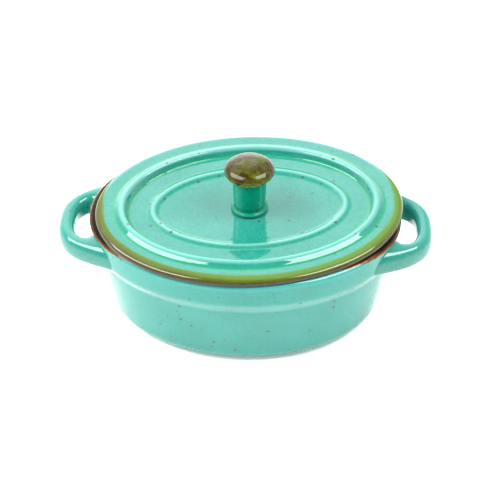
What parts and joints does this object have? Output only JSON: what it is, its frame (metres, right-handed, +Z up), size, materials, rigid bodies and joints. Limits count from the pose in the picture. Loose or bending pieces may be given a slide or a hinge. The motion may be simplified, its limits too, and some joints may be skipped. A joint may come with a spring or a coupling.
{
  "type": "covered casserole dish",
  "caption": "Mini oval casserole in speckled turquoise glaze: collared oval bowl with loop handles under a loose ringed lid with a mushroom knob.",
  "frame": {"origin": "middle of the flat base, on the table plane", "axes": "+X along the long axis towards the right handle, +Y across the dish to the back, +Z up along the way the lid lifts"},
  "size_m": [0.1844, 0.1169, 0.0864],
  "materials": {
    "bowl_glaze": "gloss",
    "handle_glaze": "gloss",
    "lid_glaze": "gloss",
    "knob_glaze": "gloss"
  },
  "bodies": {
    "dish": {"bowl": "bowl_glaze", "handle_left": "handle_glaze", "handle_right": "handle_glaze"},
    "cover": {"lid": "lid_glaze", "knob": "knob_glaze"}
  },
  "joints": [
    {"name": "lid_lift", "type": "slide", "parent": "dish", "child": "cover", "axis": [0, 0, 1], "range_m": [0, 0.09]}
  ]
}
